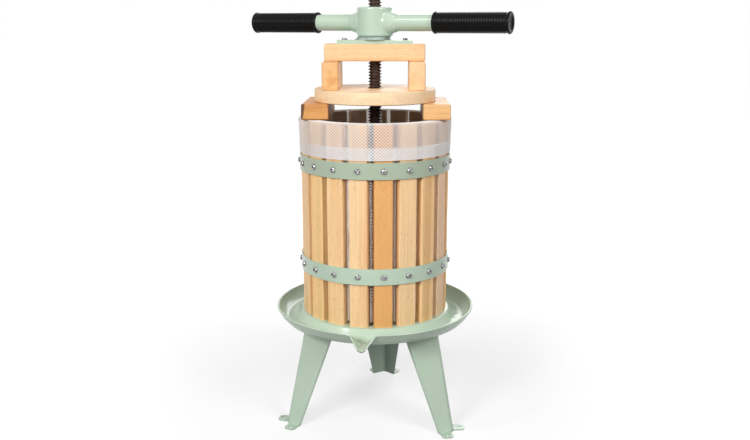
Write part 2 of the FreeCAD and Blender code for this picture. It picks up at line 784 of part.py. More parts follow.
def make_board():
    """The round pressing board in two halves that meet on the spindle's axis."""
    for label, yaw in (("press_board_front", "stack_yaw"), ("press_board_rear", "stack_yaw + 180")):
        body = new_body(label, yaw)
        turn(body, chamfered_corners(
            "board_bore_radius", "board_z", "board_radius", "board_z + board_height", "wood_edge"), angle=180.0)


def make_crossbar():
    """The wooden bar that carries the thrust plate, bored for the spindle."""
    body = new_body("crossbar", "stack_yaw")
    section = new_sketch(body, "Section", "YZ_Plane", "-crossbar_length / 2")
    corners = box_corners("-crossbar_depth / 2", "crossbar_z", "crossbar_depth / 2", "plate_z")
    add_outline(section, corners)
    ease_edges(body, pad(body, section, "crossbar_length"))
    bore = new_sketch(body, "Bore", "XY_Plane", "plate_z")
    add_circle(bore, ("0", "0"), "crossbar_bore_radius")
    pocket(body, bore, "crossbar_height")
    pilots = new_sketch(body, "Pilots", "XY_Plane", "plate_z")
    for side in ("1", "-1"):
        add_circle(pilots, (f"{side} * plate_screw_x", "0"), "plate_screw_radius + plate_screw_clearance")
    pocket(body, pilots, "plate_screw_length")


# ---- screw head --------------------------------------------------------------------------------

def make_thrust_plate():
    """The steel plate screwed on the crossbar."""
    body = new_body("thrust_plate", "stack_yaw")
    outline = new_sketch(body, "Outline", "XY_Plane", "plate_z")
    corners = box_corners("-plate_length / 2", "-plate_depth / 2", "plate_length / 2", "plate_depth / 2")
    add_outline(outline, corners)
    add_circle(outline, ("0", "0"), "collar_bore_radius")
    for side in ("1", "-1"):
        add_circle(outline, (f"{side} * plate_screw_x", "0"), "plate_screw_radius + plate_screw_clearance")
    pad(body, outline, "plate_height")


def make_plate_screws():
    """Two screws that hold the thrust plate on the crossbar."""
    screws = []
    for side in ("1", "-1"):
        spot = (f"{side} * plate_screw_x * cos(stack_yaw)", f"{side} * plate_screw_x * sin(stack_yaw)")
        head = doc.addObject("Part::Cylinder", "PlateScrewHead")
        bind(head, Radius="screw_head_radius", Height="screw_head_height")
        place(head, *spot, "collar_z")
        shank = doc.addObject("Part::Cylinder", "PlateScrewShank")
        bind(shank, Radius="plate_screw_radius", Height="plate_screw_length")
        place(shank, *spot, "collar_z - plate_screw_length")
        screw = doc.addObject("Part::Fuse", "PlateScrew")
        screw.Base = head
        screw.Tool = shank
        screws.append(screw)
    group("plate_screws", screws)


def make_thrust_collar():
    """The bare steel thrust collar that the hub turns on."""
    body = new_body("thrust_collar", "stack_yaw")
    turn(body, [
        ("collar_bore_radius", "collar_z"),
        ("collar_bottom_radius", "collar_z"),
        ("collar_top_radius", "hub_z"),
        ("collar_bore_radius", "hub_z"),
    ])


def turned_along_x(label, corners, side):
    """A body turned about the handle's axis from (distance, radius) corners, on one side."""
    body = new_body(label, "handle_yaw", "handle_z")
    sketch = new_sketch(body, "Profile", "XZ_Plane")
    add_outline(sketch, [(f"{side} * ({x})", radius) for x, radius in corners])
    turned = body.newObject("PartDesign::Revolution", "Turned")
    turned.Profile = sketch
    turned.ReferenceAxis = (sketch, ["H_Axis"])
    turned.Angle = 360.0
    doc.recompute()
    return body


def make_hub():
    """The hub nut: an upright cylinder with a flared boss for each handle tube."""
    body = new_body("hub", "handle_yaw")
    turn(body, chamfered_corners("0", "hub_z", "hub_radius", "hub_z + hub_height", "hub_edge")[1:5]
         + [("0", "hub_z + hub_height"), ("0", "hub_z")])
    boss = new_sketch(body, "Bosses", "XZ_Plane")
    boss.AttachmentOffset = FreeCAD.Placement(Vector(0, size("handle_z"), 0), FreeCAD.Rotation())
    bind(boss, AttachmentOffset__Base__y="handle_z")
    add_outline(boss, [
        ("-boss_end_x", "0"), ("boss_end_x", "0"),
        ("boss_end_x", "boss_end_radius"), ("boss_waist_x", "boss_waist_radius"),
        ("boss_root_x", "boss_root_radius"), ("-boss_root_x", "boss_root_radius"),
        ("-boss_waist_x", "boss_waist_radius"), ("-boss_end_x", "boss_end_radius"),
    ])
    turned = body.newObject("PartDesign::Revolution", "Turned")
    turned.Profile = boss
    turned.ReferenceAxis = (boss, ["H_Axis"])
    turned.Angle = 360.0
    doc.recompute()
    bore = new_sketch(body, "Bore", "XY_Plane", "hub_z + hub_height")
    add_circle(bore, ("0", "0"), "spindle_radius + hub_clearance")
    pocket(body, bore, "hub_height")
    for start, outward in (("-tube_start_x", False), ("tube_start_x", True)):
        socket = new_sketch(body, "Socket", "YZ_Plane", start)
        add_circle(socket, ("0", "handle_z"), "tube_radius + grip_fit")
        pocket(body, socket, "boss_end_x", reverse=outward)


def make_handles():
    """A steel tube and a rubber grip on each side of the hub."""
    for label, side in (("left", "-1"), ("right", "1")):
        turned_along_x(f"handle_tube_{label}", box_corners(
            "tube_start_x", "tube_radius - tube_wall", "tube_end_x", "tube_radius"), side)
        turned_along_x(f"grip_{label}", [
            ("grip_start_x", "tube_radius + grip_fit"),
            ("grip_start_x", "grip_flange_radius"),
            ("grip_start_x + grip_flange_width", "grip_flange_radius"),
            ("grip_start_x + grip_flange_width", "grip_radius"),
            ("grip_end_x - grip_flange_width", "grip_radius"),
            ("grip_end_x - grip_flange_width", "grip_flange_radius"),
            ("grip_end_x - 1", "grip_flange_radius"),
            ("grip_end_x", "grip_flange_radius - 1"),
            ("grip_end_x", "grip_recess_radius"),
            ("grip_end_x - grip_recess_depth", "grip_recess_radius"),
            ("grip_end_x - grip_recess_depth", "0"),
            ("tube_end_x", "0"),
            ("tube_end_x", "tube_radius + grip_fit"),
        ], side)


def node_objects():
    """The objects that are written out, by label."""
    members = {link for thing in doc.Objects if thing.isDerivedFrom("Part::Compound") for link in thing.Links}
    labels = {}
    for thing in doc.Objects:
        is_body = thing.isDerivedFrom("PartDesign::Body")
        is_group = thing.isDerivedFrom("Part::Compound")
        is_nut = thing.Label == "spindle_nut"
        if (is_body or is_group or is_nut) and thing not in members:
            labels[thing.Label] = thing
    return labels


def check_and_write():
    """Stop at a failed object or an invalid shape, and write each node to its own file."""
    doc.recompute()
    for thing in doc.Objects:
        assert "Invalid" not in thing.State and "Error" not in thing.State, f"{thing.Label} failed"
    nodes = node_objects()
    for label, thing in nodes.items():
        assert not thing.Shape.isNull() and thing.Shape.isValid(), f"{label} has no valid shape"
    os.makedirs("parts", exist_ok=True)
    for label, thing in nodes.items():
        thing.Shape.exportStep(f"parts/{label}.step")
    print("ok", len(nodes), "nodes")


fill_sheet()
make_tray()
for leg_label, leg_azimuth in LEG_AZIMUTHS.items():
    make_leg(leg_label, leg_azimuth)
make_leg_fasteners()
make_spindle()
make_spindle_anchor()
for slat_number in range(int(size("slat_count"))):
    make_slat(slat_number)
make_hoop("hoop_lower", "hoop_lower_z")
make_hoop("hoop_upper", "hoop_upper_z")
make_hoop_screws("hoop_screws_lower", "hoop_lower_z")
make_hoop_screws("hoop_screws_upper", "hoop_upper_z")
make_bag()
make_blocks()
make_board()
make_crossbar()
make_thrust_plate()
make_plate_screws()
make_thrust_collar()
make_hub()
make_handles()
check_and_write()
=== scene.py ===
"""The looks of a hand-cranked basket press: paint, beech, thread, ribs, screws and mesh bag."""
import math

import bmesh
import bpy
from mathutils import Matrix, Vector


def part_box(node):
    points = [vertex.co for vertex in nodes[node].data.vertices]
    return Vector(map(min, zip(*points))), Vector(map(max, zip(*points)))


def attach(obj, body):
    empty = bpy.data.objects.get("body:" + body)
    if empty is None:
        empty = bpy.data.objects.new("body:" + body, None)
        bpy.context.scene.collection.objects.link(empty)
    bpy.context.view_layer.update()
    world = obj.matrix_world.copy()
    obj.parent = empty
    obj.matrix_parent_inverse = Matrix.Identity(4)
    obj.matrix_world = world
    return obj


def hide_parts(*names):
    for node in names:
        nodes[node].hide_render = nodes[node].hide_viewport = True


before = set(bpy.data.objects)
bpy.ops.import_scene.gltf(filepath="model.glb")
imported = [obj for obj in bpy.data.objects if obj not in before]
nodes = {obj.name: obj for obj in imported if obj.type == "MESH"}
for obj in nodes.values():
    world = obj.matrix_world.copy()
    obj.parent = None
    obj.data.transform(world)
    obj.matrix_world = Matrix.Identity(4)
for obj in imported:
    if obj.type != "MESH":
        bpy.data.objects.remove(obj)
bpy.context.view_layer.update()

# Lengths are metres, and angles are radians where nothing else is said. The press stands on
# Z = 0 with its spindle along Z. An angle round the spindle counts from -Y, the side of the
# spout, towards +X. A yaw is a turn about Z from where a piece would lie along X.
MM = 0.001
SLAT_COUNT = 19
SLAT_PHASE = math.radians(13.0)          # the angle of slat_01's middle
STACK_YAW = math.radians(5.4)            # of the blocks, the board and the crossbar
HANDLE_YAW = math.radians(-19.6)         # of the handle's tubes


def around(angle, radius, height):
    """The point at an angle round the spindle."""
    return (radius * math.sin(angle), -radius * math.cos(angle), height)


def middle_height(node_name):
    """The height of a CAD node's middle."""
    low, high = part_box(node_name)
    return (low[2] + high[2]) / 2


# ---- node helpers ------------------------------------------------------------------------------

class Tree:
    """Short calls that add nodes to a tree and join them."""

    def __init__(self, tree):
        self.tree = tree

    def feed(self, socket, value):
        """Set an input to a value, or link it to another node's output."""
        if isinstance(value, bpy.types.NodeSocket):
            self.tree.links.new(value, socket)
        else:
            socket.default_value = value

    def add(self, kind, inputs=None, **settings):
        """A node with its settings, and its inputs fed by name or number."""
        node = self.tree.nodes.new(kind)
        for name, value in settings.items():
            setattr(node, name, value)
        for key, value in (inputs or {}).items():
            self.feed(node.inputs[key], value)
        return node

    def math(self, operation, *values):
        """A Math node's result."""
        return self.add("ShaderNodeMath", dict(enumerate(values)), operation=operation).outputs[0]

    def fade(self, value, start, end, first=0.0, last=1.0):
        """A value that goes from first to last while another goes from start to end."""
        return self.add("ShaderNodeMapRange", {
            "Value": value, "From Min": start, "From Max": end,
            "To Min": first, "To Max": last}).outputs["Result"]

    def combine(self, **axes):
        """A vector from its X, Y and Z."""
        return self.add("ShaderNodeCombineXYZ", axes).outputs[0]

    def ramp(self, factor, stops):
        """A colour ramp through (position, colour) stops."""
        node = self.add("ShaderNodeValToRGB", {"Fac": factor})
        elements = node.color_ramp.elements
        while len(elements) < len(stops):
            elements.new(0.5)
        for element, (position, colour) in zip(elements, stops):
            element.position = position
            element.color = (*colour, 1.0)
        return node.outputs["Color"]

    def blend(self, factor, first, second, mode="MIX"):
        """A colour mix."""
        node = self.add("ShaderNodeMix", data_type="RGBA", blend_type=mode)
        for name, value in (("Factor_Float", factor), ("A_Color", first), ("B_Color", second)):
            socket = next(s for s in node.inputs if s.identifier == name)
            self.feed(socket, (*value, 1.0) if isinstance(value, tuple) else value)
        return next(s for s in node.outputs if s.identifier == "Result_Color")

    def object_points(self, turn=0.0, scale=(1.0, 1.0, 1.0), shift=(0.0, 0.0, 0.0)):
        """Object coordinates, turned about Z and then scaled per axis."""
        coordinates = self.add("ShaderNodeTexCoord").outputs["Object"]
        turned_points = self.add("ShaderNodeMapping", {
            "Vector": coordinates, "Rotation": (0.0, 0.0, -turn)}).outputs["Vector"]
        return self.add("ShaderNodeMapping", {
            "Vector": turned_points, "Location": shift, "Scale": scale}).outputs["Vector"]

    def noise(self, points, scale, detail=3.0, roughness=0.55):
        """A noise texture's value."""
        return self.add("ShaderNodeTexNoise", {
            "Vector": points, "Scale": scale, "Detail": detail,
            "Roughness": roughness}).outputs["Fac"]

    def bump(self, height, strength, distance):
        """A bump's normal."""
        return self.add("ShaderNodeBump", {
            "Height": height, "Strength": strength, "Distance": distance}).outputs["Normal"]


def grey(value):
    """A neutral colour."""
    return (value, value, value)


def srgb(red, green, blue):
    """A colour given in screen values from 0 to 255, as linear light."""
    def linear(value):
        share = value / 255.0
        return share / 12.92 if share <= 0.04045 else ((share + 0.055) / 1.055) ** 2.4
    return tuple(linear(value) for value in (red, green, blue))


def new_material(name):
    """A material, its tree and its Principled shader."""
    material = bpy.data.materials.new(name)
    material.use_nodes = True
    return material, Tree(material.node_tree), material.node_tree.nodes["Principled BSDF"]


def link_finish(tree, shader, colour, roughness, normal):
    """Lead a finish's colour, roughness and normal into its shader."""
    for name, value in (("Base Color", colour), ("Roughness", roughness), ("Normal", normal)):
        tree.feed(shader.inputs[name], value)


# ---- finishes ----------------------------------------------------------------------------------

SAGE_LIGHT, SAGE_DARK = srgb(184, 203, 183), srgb(179, 199, 178)
# the upper hoop's coat: the same sage made darker, as painted shade
SHADED_SAGE_LIGHT, SHADED_SAGE_DARK = srgb(168, 182, 160), srgb(163, 177, 155)
FLECK = (0.62, 0.48, 0.36)               # what a fleck leaves of the wood's red, green and blue
PLANK_STEPS = (3.1, 1.7, 2.3)            # how far apart two planks lie in the wood's pattern
RUBBER_IOR = 1.2


def sage_paint(name="sage_powder_coat", light=SAGE_LIGHT, dark=SAGE_DARK):
    """Semi-gloss sage-green powder coat with a faint orange peel."""
    material, tree, shader = new_material(name)
    points = tree.object_points()
    clouds = tree.noise(points, scale=14.0)
    gloss = tree.noise(points, scale=60.0)
    peel = tree.noise(points, scale=520.0, detail=2.0)
    link_finish(tree, shader, tree.ramp(clouds, [(0.3, dark), (0.7, light)]),
                tree.fade(gloss, 0.0, 1.0, first=0.19, last=0.23),
                tree.bump(peel, strength=0.015, distance=0.3 * MM))
    return material


def beech(name, light, dark, seed, grain="Z", turn=0.0):
    """Planed beech: long fibres, faint growth bands and short dark flecks along the grain."""
    material, tree, shader = new_material(name)
    shift = tuple(seed * step for step in PLANK_STEPS)

    def along_grain(across, lengthwise, detail, roughness):
        """Noise with one scale across the grain and another along it."""
        scale = tuple(lengthwise if axis == grain else across for axis in "XYZ")
        return tree.noise(tree.object_points(turn, scale, shift), 1.0, detail, roughness)

    bands = along_grain(55.0, 1.6, detail=2.5, roughness=0.5)
    fibres = along_grain(900.0, 14.0, detail=4.0, roughness=0.7)
    flecks = along_grain(1100.0, 130.0, detail=1.0, roughness=0.4)
    late_wood = tuple(0.9 * part for part in light)
    colour = tree.ramp(bands, [(0.32, dark), (0.5, light), (0.7, late_wood)])
    fibre_tone = tree.ramp(fibres, [(0.3, grey(0.8)), (0.62, grey(1.0))])
    fleck_tone = tree.ramp(flecks, [(0.64, grey(1.0)), (0.72, FLECK)])
    colour = tree.blend(0.75, colour, fibre_tone, "MULTIPLY")
    colour = tree.blend(0.55, colour, fleck_tone, "MULTIPLY")
    link_finish(tree, shader, colour, tree.fade(fibres, 0.0, 1.0, first=0.42, last=0.6),
                tree.bump(fibres, strength=0.25, distance=0.4 * MM))
    return material


def metal(name, light, dark, polish, grain=300.0, metallic=1.0):
    """A metal whose tone drifts in patches between a light and a dark, and its roughness over the
    range given as polish.
    """
    material, tree, shader = new_material(name)
    points = tree.object_points()
    patches = tree.noise(points, scale=grain)
    marks = tree.noise(points, scale=4.0 * grain)
    link_finish(tree, shader, tree.ramp(patches, [(0.3, dark), (0.7, light)]),
                tree.fade(patches, 0.0, 1.0, *polish),
                tree.bump(marks, strength=0.08, distance=0.2 * MM))
    shader.inputs["Metallic"].default_value = metallic
    return material


def rubber():
    """Black moulded rubber with a satin skin."""
    material, tree, shader = new_material("black_grip_rubber")
    points = tree.object_points()
    dust = tree.noise(points, scale=220.0)
    skin = tree.noise(points, scale=1500.0)
    link_finish(tree, shader, tree.ramp(dust, [(0.3, grey(0.0015)), (0.8, grey(0.004))]),
                tree.fade(dust, 0.0, 1.0, first=0.2, last=0.3),
                tree.bump(skin, strength=0.1, distance=0.2 * MM))
    shader.inputs["IOR"].default_value = RUBBER_IOR
    return material


def bag_yarn():
    """White nylon yarn with fine filaments."""
    material, tree, shader = new_material("white_nylon_yarn")
    filaments = tree.noise(tree.object_points(), scale=2500.0, detail=2.0)
    link_finish(tree, shader,
                tree.ramp(filaments, [(0.3, srgb(240, 237, 236)), (0.7, srgb(252, 250, 249))]),
                tree.fade(filaments, 0.0, 1.0, first=0.45, last=0.65),
                tree.bump(filaments, strength=0.2, distance=0.2 * MM))
    return material


# ---- making pieces -----------------------------------------------------------------------------

def place(name, data):
    """A new object in the scene, at the origin."""
    thing = bpy.data.objects.new(name, data)
    bpy.context.scene.collection.objects.link(thing)
    return thing


def stand_in(piece, node_name, body):
    """Show a piece in a CAD node's place."""
    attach(piece, body)
    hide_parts(node_name)


def shape_to_piece(shape, name, material=None):
    """A bmesh as a piece; the bmesh is freed."""
    mesh = bpy.data.meshes.new(name)
    shape.to_mesh(mesh)
    shape.free()
    if material:
        mesh.materials.append(material)
    return place(name, mesh)


def mesh_object(name, points, faces, material):
    """A smooth piece from points and faces."""
    mesh = bpy.data.meshes.new(name)
    mesh.from_pydata(points, [], faces)
    mesh.polygons.foreach_set("use_smooth", [True] * len(mesh.polygons))
    mesh.materials.append(material)
    return place(name, mesh)


def turned(name, profile, segments, material, placement=Matrix()):
    """A closed solid turned about Z from (radius, height) points that start and end on the axis."""
    points = []
    faces = []
    rings = profile[1:-1]
    for radius, height in rings:
        for step in range(segments):
            angle = 2 * math.pi * step / segments
            spot = Vector((radius * math.cos(angle), radius * math.sin(angle), height))
            points.append(placement @ spot)
    for ring in range(len(rings) - 1):
        low, high = ring * segments, (ring + 1) * segments
        for step in range(segments):
            after = (step + 1) % segments
            faces.append((low + step, low + after, high + after, high + step))
    for pole, ring, order in ((profile[0], 0, -1), (profile[-1], len(rings) - 1, 1)):
        centre = len(points)
        points.append(placement @ Vector((0.0, 0.0, pole[1])))
        for step in range(segments):
            pair = (ring * segments + step, ring * segments + (step + 1) % segments)
            faces.append((centre, *pair[::order]))
    return mesh_object(name, points, faces, material)


def face_outwards(piece):
    """Point a closed piece's faces outwards."""
    shape = bmesh.new()
    shape.from_mesh(piece.data)
    bmesh.ops.recalc_face_normals(shape, faces=shape.faces)
    shape.to_mesh(piece.data)
    shape.free()


def plain_mesh(name, carrier):
    """The evaluated result of a carrier object's modifiers as a plain piece; the carrier goes."""
    graph = bpy.context.evaluated_depsgraph_get()
    mesh = bpy.data.meshes.new_from_object(carrier.evaluated_get(graph))
    mesh.name = name
    bpy.data.objects.remove(carrier)
    return place(name, mesh)


def grow(name, tree, values, base=None):
    """A plain piece grown by a Geometry Nodes tree from named input values."""
    carrier = place(name + "_carrier", base or bpy.data.meshes.new(name))
    modifier = carrier.modifiers.new("grow", "NODES")
    modifier.node_group = tree
    for socket in tree.interface.items_tree:
        wanted = socket.item_type == "SOCKET" and socket.in_out == "INPUT"
        if wanted and socket.name in values:
            modifier[socket.identifier] = values[socket.name]
    return plain_mesh(name, carrier)


def geometry_tree(name, **inputs):
    """A Geometry Nodes tree with a geometry in and out and the named inputs of the given kinds."""
    group = bpy.data.node_groups.new(name, "GeometryNodeTree")
    sockets = group.interface
    sockets.new_socket("Geometry", in_out="INPUT", socket_type="NodeSocketGeometry")
    for label, kind in inputs.items():
        sockets.new_socket(label, in_out="INPUT", socket_type="NodeSocket" + kind)
    sockets.new_socket("Geometry", in_out="OUTPUT", socket_type="NodeSocketGeometry")
    tree = Tree(group)
    return tree, tree.add("NodeGroupInput").outputs


def close_tree(tree, geometry, material_socket):
    """End a tree in Realize Instances and Set Material."""
    real = tree.add("GeometryNodeRealizeInstances", {"Geometry": geometry}).outputs[0]
    dressed = tree.add("GeometryNodeSetMaterial", {"Geometry": real, "Material": material_socket})
    tree.add("NodeGroupOutput", {"Geometry": dressed.outputs[0]})
    return tree.tree


# ---- spindle -----------------------------------------------------------------------------------

THREAD_PITCH = 5.0 * MM
THREAD_DEPTH = 2.6 * MM
THREAD_RUNOUT = 2.0 * MM                 # the chamfer at each end of the thread
ROOT_EDGE, CREST_EDGE = 0.16, 0.34       # a flank's edges, in pitches from the root's middle
ROD_SIDES = 40
RINGS_PER_TURN = 8


def thread_tree():
    """A rod whose side is pushed in along a helix: a trapezoidal thread."""
    tree, given = geometry_tree(
        "spindle_thread", Radius="Float", Bottom="Float", Length="Float", Pitch="Float",
        Depth="Float", Rings="Int", Material="Material")
    rod = tree.add("GeometryNodeMeshCylinder", {
        "Vertices": ROD_SIDES, "Side Segments": given["Rings"], "Radius": given["Radius"],
        "Depth": given["Length"]}).outputs["Mesh"]
    spot = tree.add("GeometryNodeInputPosition").outputs[0]
    axes = tree.add("ShaderNodeSeparateXYZ", {0: spot}).outputs
    turns = tree.math("DIVIDE", tree.math("ARCTAN2", axes["Y"], axes["X"]), 2 * math.pi)
    climbed = tree.math("DIVIDE", axes["Z"], given["Pitch"])
    phase = tree.math("FRACT", tree.math("SUBTRACT", climbed, turns))
    from_root = tree.math("ABSOLUTE", tree.math("SUBTRACT", phase, 0.5))
    flank = tree.fade(from_root, ROOT_EDGE, CREST_EDGE, first=1.0, last=0.0)
    half = tree.math("DIVIDE", given["Length"], 2.0)
    to_end = tree.math("SUBTRACT", half, tree.math("ABSOLUTE", axes["Z"]))
    chamfer = tree.fade(to_end, 0.0, THREAD_RUNOUT, first=1.0, last=0.0)
    cut = tree.math("MULTIPLY", given["Depth"], tree.math("MAXIMUM", flank, chamfer))
    share = tree.math("DIVIDE", tree.math("SUBTRACT", given["Radius"], cut), given["Radius"])
    pushed = tree.combine(
        X=tree.math("MULTIPLY", axes["X"], share), Y=tree.math("MULTIPLY", axes["Y"], share),
        Z=tree.math("ADD", tree.math("ADD", axes["Z"], half), given["Bottom"]))
    moved = tree.add("GeometryNodeSetPosition", {"Geometry": rod, "Position": pushed}).outputs[0]
    smooth = tree.add("GeometryNodeSetShadeSmooth", {"Geometry": moved}).outputs[0]
    return close_tree(tree, smooth, given["Material"])


def make_spindle(material):
    """The threaded spindle in place of the plain rod."""
    low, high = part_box("spindle")
    length = high[2] - low[2]
    spindle = grow("spindle_screw", thread_tree(), {
        "Radius": (high[0] - low[0]) / 2, "Bottom": low[2], "Length": length,
        "Pitch": THREAD_PITCH, "Depth": THREAD_DEPTH,
        "Rings": round(length / THREAD_PITCH * RINGS_PER_TURN), "Material": material})
    stand_in(spindle, "spindle", "stand")


# ---- screws ------------------------------------------------------------------------------------

HEAD_RADIUS = 4.8 * MM
HEAD_HEIGHT = 3.4 * MM
HEAD_SIDES = 24
# a pan head from below its seat to its crown, as (radius, height)
HEAD_PROFILE = [
    (0.0, -0.3 * MM), (4.3 * MM, -0.3 * MM), (4.3 * MM, 0.3 * MM), (HEAD_RADIUS, 0.6 * MM),
    (HEAD_RADIUS, 1.3 * MM), (4.4 * MM, 2.2 * MM), (3.6 * MM, 2.9 * MM), (2.2 * MM, 3.3 * MM),
    (0.0, HEAD_HEIGHT)]
RECESS = (5.8 * MM, 1.3 * MM, 3.4 * MM)  # one arm of the cross: length, width, twice the depth
SCREW_SEED = 12                          # for the angle that each screw was left at


def recess_cutter(turn):
    """A block that cuts one arm of the cross recess."""
    shape = bmesh.new()
    bmesh.ops.create_cube(shape, size=1.0)
    at_crown = Matrix.Translation((0.0, 0.0, HEAD_HEIGHT)) @ Matrix.Rotation(turn, 4, "Z")
    size = Matrix.Diagonal((*RECESS, 1.0))
    bmesh.ops.transform(shape, matrix=at_crown @ size, verts=shape.verts)
    return shape_to_piece(shape, "recess")


def screw_head(material):
    """A pan head with a cross recess, seated a little below Z = 0."""
    head = turned("screw_master", HEAD_PROFILE, HEAD_SIDES, material)
    for turn in (0.0, math.pi / 2):
        cutter = recess_cutter(turn)
        cut = head.modifiers.new("recess", "BOOLEAN")
        cut.operation = "DIFFERENCE"
        cut.solver = "EXACT"
        cut.object = cutter
        head = plain_mesh("screw_master", head)
        bpy.data.objects.remove(cutter)
    return head


def screw_ring_tree():
    """Like screws round a hoop, each turned to its own angle."""
    tree, given = geometry_tree(
        "screw_ring", Screw="Object", Count="Int", Radius="Float", Height="Float",
        Phase="Float", Seed="Int", Material="Material")
    line = tree.add("GeometryNodeMeshLine", {"Count": given["Count"]}).outputs[0]
    index = tree.add("GeometryNodeInputIndex").outputs[0]
    step = tree.math("DIVIDE", 2 * math.pi, given["Count"])
    angle = tree.math("ADD", given["Phase"], tree.math("MULTIPLY", index, step))
    back = tree.math("MULTIPLY", tree.math("COSINE", angle), -1.0)
    spot = tree.combine(X=tree.math("MULTIPLY", given["Radius"], tree.math("SINE", angle)),
                        Y=tree.math("MULTIPLY", given["Radius"], back), Z=given["Height"])
    hoop = tree.add("GeometryNodeSetPosition", {"Geometry": line, "Position": spot}).outputs[0]
    screw = tree.add("GeometryNodeObjectInfo", {"Object": given["Screw"]}).outputs["Geometry"]
    own_turn = tree.add("FunctionNodeRandomValue", {"Seed": given["Seed"]}, data_type="FLOAT")
    own_turn.inputs[3].default_value = 2 * math.pi
    spin = tree.add("FunctionNodeEulerToRotation", {0: tree.combine(Z=own_turn.outputs[1])})
    face_out = tree.add("FunctionNodeEulerToRotation", {0: tree.combine(X=math.pi / 2, Z=angle)})
    both = tree.add("FunctionNodeRotateRotation", {
        "Rotation": face_out.outputs[0], "Rotate By": spin.outputs[0]},
        rotation_space="LOCAL").outputs[0]
    placed = tree.add("GeometryNodeInstanceOnPoints", {
        "Points": hoop, "Instance": screw, "Rotation": both}).outputs[0]
    return close_tree(tree, placed, given["Material"])


def make_hoop_screws(head, material):
    """The screws of both hoops, one through the middle of each plank."""
    tree = screw_ring_tree()
    for level in ("lower", "upper"):
        low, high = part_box(f"hoop_{level}")
        ring = grow(f"hoop_screw_heads_{level}", tree, {
            "Screw": head, "Count": SLAT_COUNT, "Radius": (high[0] - low[0]) / 2,
            "Height": middle_height(f"hoop_{level}"), "Phase": SLAT_PHASE, "Seed": SCREW_SEED,
            "Material": material})
        stand_in(ring, f"hoop_screws_{level}", "basket")


def make_plate_screws(head, material):
    """The two screws of the thrust plate, one at each end, at opposite corners of their box."""
    low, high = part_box("plate_screws")
    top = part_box("thrust_plate")[1][2]
    both = bmesh.new()
    for x, y in ((low[0] + HEAD_RADIUS, low[1] + HEAD_RADIUS),
                 (high[0] - HEAD_RADIUS, high[1] - HEAD_RADIUS)):
        copy = head.data.copy()
        copy.transform(Matrix.Translation((x, y, top)))
        both.from_mesh(copy)
        bpy.data.meshes.remove(copy)
    piece = shape_to_piece(both, "plate_screw_heads", material)
    stand_in(piece, "plate_screws", "head")


# ---- grips -------------------------------------------------------------------------------------

GRIP_START, GRIP_END = 105.8 * MM, 232.0 * MM    # from the spindle's axis
GRIP_BORE, GRIP_BODY, GRIP_FLANGE = 13.5 * MM, 16.3 * MM, 17.4 * MM    # radii
CAP_THICKNESS = 5.0 * MM                 # of the closed end
GRIP_SIDES = 64
RIB_PITCH = 4.35 * MM
RIB_DEPTH = 1.6 * MM
RIB_CROWN = 0.3 * MM                     # how far a rib stands over the sleeve's body
FIRST_GROOVE = 6.0 * MM                  # from the sleeve's open end
FLANGES_ROOM = 10.0 * MM                 # of the sleeve's length, left without ribs
# one groove and rib, as (share of the pitch, share of the depth below the crown)
RIB_SECTION = ((0.0, 1.0), (0.14, 0.9), (0.3, 0.25), (0.5, 0.0), (0.7, 0.25), (0.86, 0.9))


def grip_profile():
    """The sleeve's section, as (radius, distance from the spindle's axis)."""
    start, end, flange = GRIP_START, GRIP_END, GRIP_FLANGE
    bore = [(0.0, end - CAP_THICKNESS), (GRIP_BORE, end - CAP_THICKNESS), (GRIP_BORE, start)]
    inner_flange = [(flange - 0.8 * MM, start), (flange, start + 0.8 * MM),
                    (flange, start + 3.0 * MM), (GRIP_BODY, start + 4.2 * MM)]
    outer_flange = [(GRIP_BODY, end - 4.4 * MM), (flange, end - 3.4 * MM),
                    (flange, end - 1.2 * MM), (flange - 1.2 * MM, end)]
    recess = [(11.6 * MM, end), (11.0 * MM, end - 1.5 * MM), (0.0, end - 1.5 * MM)]
    first = start + FIRST_GROOVE
    count = int((end - start - FLANGES_ROOM) / RIB_PITCH)
    ribs = [(GRIP_BODY + RIB_CROWN - RIB_DEPTH * depth, first + (rib + share) * RIB_PITCH)
            for rib in range(count) for share, depth in RIB_SECTION]
    return bore + inner_flange + ribs + outer_flange + recess


def make_grip(label, side, material):
    """A ribbed rubber sleeve with an end flange at each end and a recess in its closed end."""
    along = Matrix.Rotation(HANDLE_YAW, 4, "Z") @ Matrix.Rotation(math.pi / 2 * side, 4, "Y")
    lift = Matrix.Translation((0.0, 0.0, middle_height("handle_tube_" + label)))
    grip = turned(f"ribbed_grip_{label}", grip_profile()[::-1], GRIP_SIDES, material, lift @ along)
    face_outwards(grip)
    stand_in(grip, "grip_" + label, "handle")


# ---- the mesh bag ------------------------------------------------------------------------------

YARN_COUNT = 148
YARN_WIDTH = 0.84 * MM
YARN_THICKNESS = 0.42 * MM
YARN_REFERENCE = 118.0 * MM              # the radius at which the yarns cross at right angles
WEAVE_LIFT = 0.22 * MM                   # how far a yarn lies over or under the cloth's middle
# how far the wall is pressed out between two planks, by degrees on from a plank's middle
GAP_PRESS = [(0.0, 0.0), (7.9, 0.6 * MM), (8.55, 6.2 * MM), (9.47, 8.6 * MM), (10.39, 6.2 * MM),
             (11.04, 0.6 * MM)]
PRESSED_SHARE = 0.76                     # of the wall's height, below the skirt

BAG_RADIUS = 107.9 * MM                  # of the wall
RIM_RADIUS = 127.6 * MM                  # of the fold's outer edge
SKIRT_TOP_RADIUS, SKIRT_FOOT_RADIUS = 128.3 * MM, 126.2 * MM
RIM_LIFT = 0.9 * MM                      # over the planks' ends
RIM_BEND = 3.0 * MM                      # how far below the rim the cloth starts to bend over
RIM_CORNER = 1.0 * MM                    # how far below the rim it bends most
RIM_STEPS = 5                            # stations across the rim
SKIRT_DROP = 55.6 * MM                   # from the planks' ends down to the hem
SKIRT_STEPS = 27                         # from the bend down to the hem
SKIRT_WAVES = ((3, 0.6, 0.21 * MM), (7, 2.0, 0.15 * MM))    # waves round it, phase, height

